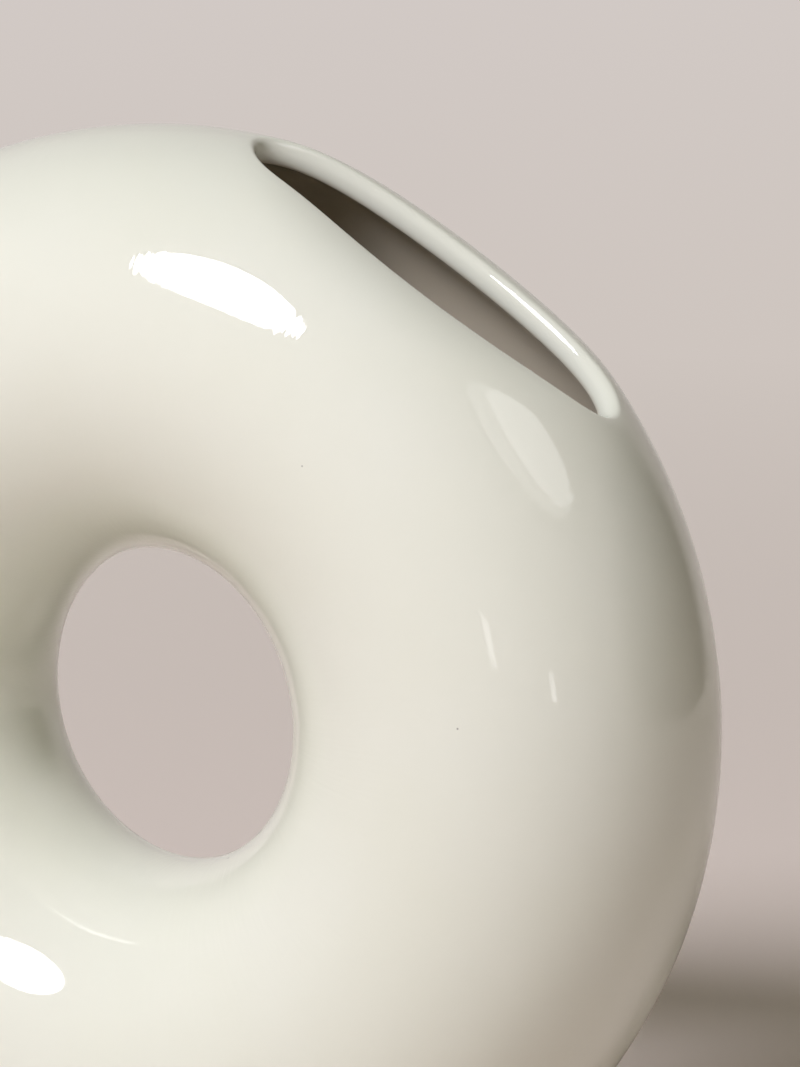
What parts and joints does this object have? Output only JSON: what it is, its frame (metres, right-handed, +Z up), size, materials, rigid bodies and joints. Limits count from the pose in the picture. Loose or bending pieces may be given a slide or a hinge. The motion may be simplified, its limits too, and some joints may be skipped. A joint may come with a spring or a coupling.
{
  "type": "donut vase",
  "caption": "Upright hollow ring vase with an oval mouth cut into one shoulder, a round hole through its middle and an oval foot ring.",
  "frame": {"origin": "middle of the base, on the surface that the vase stands on", "axes": "+Z up; the ring's axis lies along Y with the front towards -Y; the mouth leans from +Z towards +X"},
  "size_m": [0.22, 0.08, 0.198],
  "materials": {
    "glaze": "glossy off-white glaze",
    "bare_clay": "matt fired clay, unglazed"
  },
  "bodies": {
    "root": {"front_shell": "glaze", "rear_shell": "glaze", "foot_ring": "bare_clay"}
  },
  "joints": []
}
